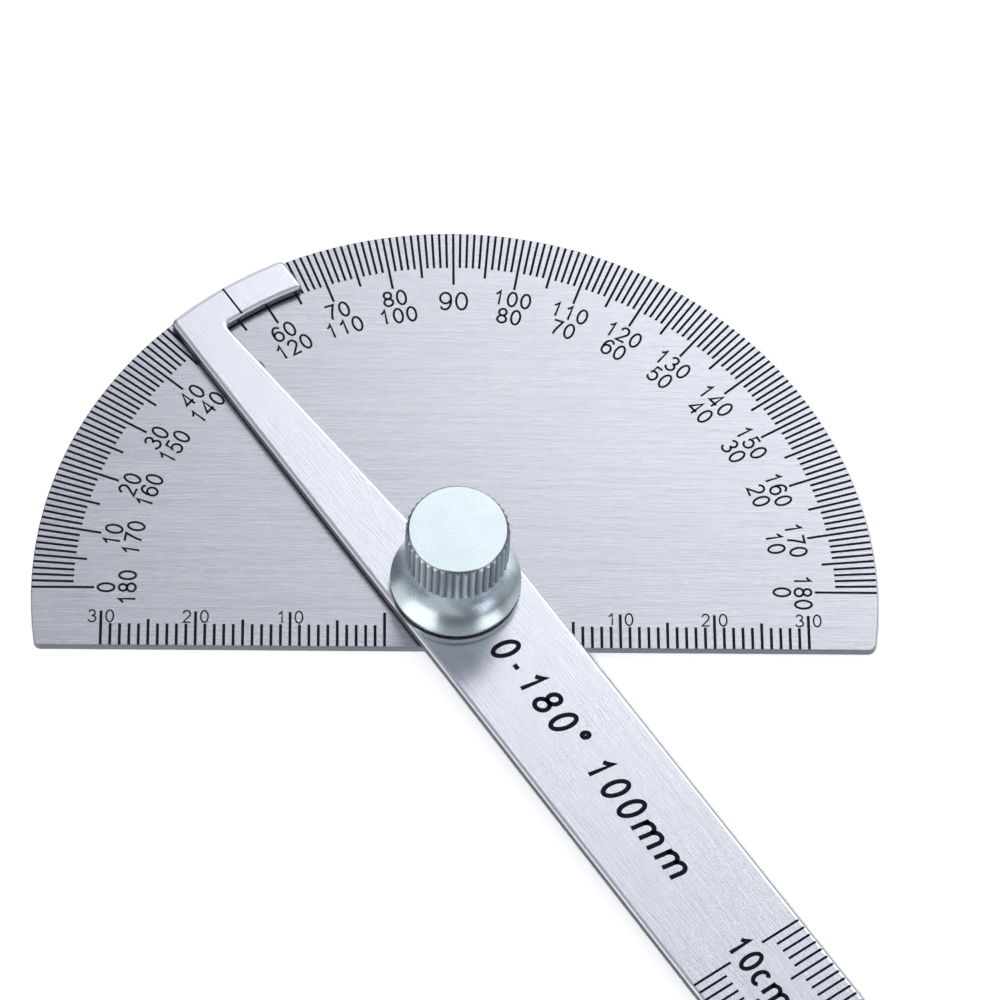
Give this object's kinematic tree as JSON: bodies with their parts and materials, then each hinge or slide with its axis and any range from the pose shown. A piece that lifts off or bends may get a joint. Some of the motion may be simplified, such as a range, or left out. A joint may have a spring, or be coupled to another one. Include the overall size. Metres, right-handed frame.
{
  "type": "swing-arm protractor",
  "caption": "Half-round steel protractor plate with a hooked ruler arm that swings on a stud and is locked by a knurled thumb nut.",
  "frame": {"origin": "on the pivot axis, in the flat back of the plate", "axes": "+Y from the straight base edge to the 90 degree mark, +X to the right-hand 180 degree mark, +Z out of the graduated face, along the pivot stud"},
  "size_m": [0.1367, 0.1742, 0.014],
  "materials": {
    "plate_steel": "fine brushed stainless, grain along X, black filled marks",
    "arm_steel": "fine brushed stainless, grain along the arm, black filled marks",
    "stud_steel": "turned steel",
    "spacer_steel": "plain steel shim",
    "washer_steel": "bright plated",
    "spring_steel": "dark spring steel",
    "nut_zinc": "clear bluish zinc plating, satin turned",
    "black_fill": "black paint filled into the graduations and figures"
  },
  "bodies": {
    "plate": {"protractor_plate": "plate_steel", "pivot_stud": "stud_steel", "spacer_washer": "spacer_steel"},
    "arm": {"ruler_arm": "arm_steel", "flat_washer": "washer_steel"},
    "spring": {"spring_washer": "spring_steel"},
    "nut": {"clamp_nut": "nut_zinc"}
  },
  "joints": [
    {"name": "arm_swing", "type": "hinge", "parent": "plate", "child": "arm", "pos_m": [0, 0, 0], "axis": [0, 0, 1], "range_deg": [-124.5, 55.5]},
    {"name": "nut_lift", "type": "slide", "parent": "plate", "child": "spring", "axis": [0, 0, 1], "range_m": [0, 0.0014]},
    {"name": "nut_turn", "type": "hinge", "parent": "spring", "child": "nut", "pos_m": [0, 0, 0], "axis": [0, 0, 1], "range_deg": [0, 720]}
  ],
  "couplings": [
    {"joint": "nut_turn", "follows": "nut_lift", "rad_per_m": 8976}
  ]
}
